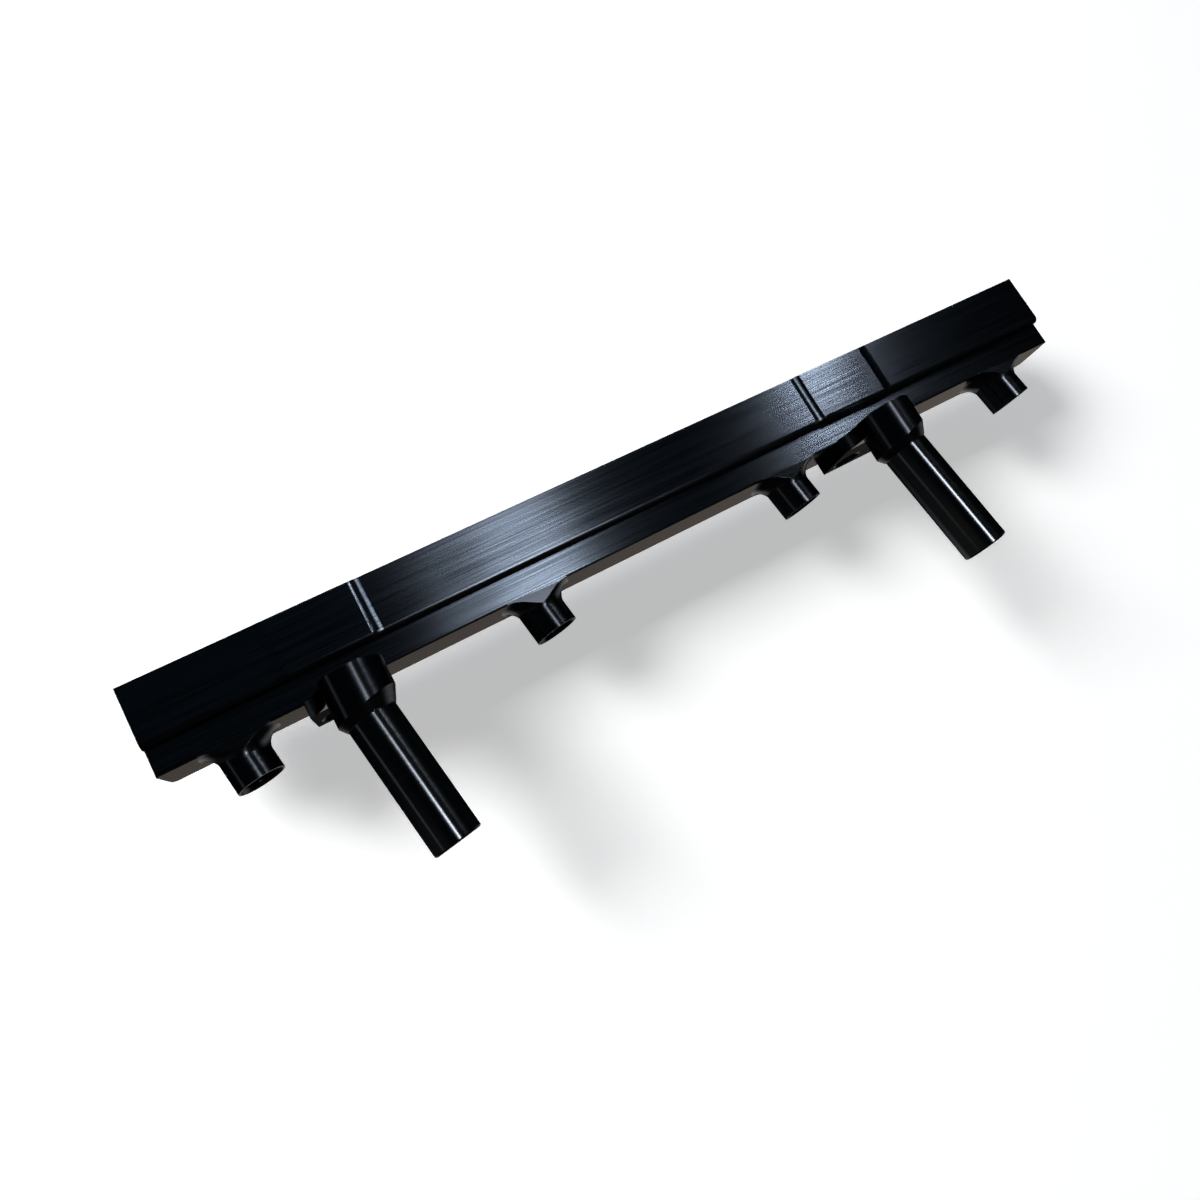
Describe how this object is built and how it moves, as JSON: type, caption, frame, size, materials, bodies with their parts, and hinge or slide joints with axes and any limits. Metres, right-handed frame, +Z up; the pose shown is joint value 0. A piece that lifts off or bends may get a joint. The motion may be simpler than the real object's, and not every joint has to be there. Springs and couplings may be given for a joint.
{
  "type": "fuel rail",
  "caption": "Black anodised billet fuel rail with a stepped, brushed front, injector cups below, and leaning stand-off posts on collars at its front side.",
  "frame": {"origin": "middle of the left post's foot face, on the axis of its bolt bore", "axes": "+X along the bar from the left post to the right one, +Y across the bar from the posts to its back, +Z up and square to the bar's underside; the posts and cups lean along the bar by 7.8 degrees"},
  "size_m": [0.3878, 0.0433, 0.0968],
  "materials": {
    "billet": "black anodised, fine brushed lines along the front faces",
    "post": "black anodised, turned and polished"
  },
  "bodies": {
    "root": {"rail_body": "billet", "post_left": "post", "post_right": "post"}
  },
  "joints": []
}
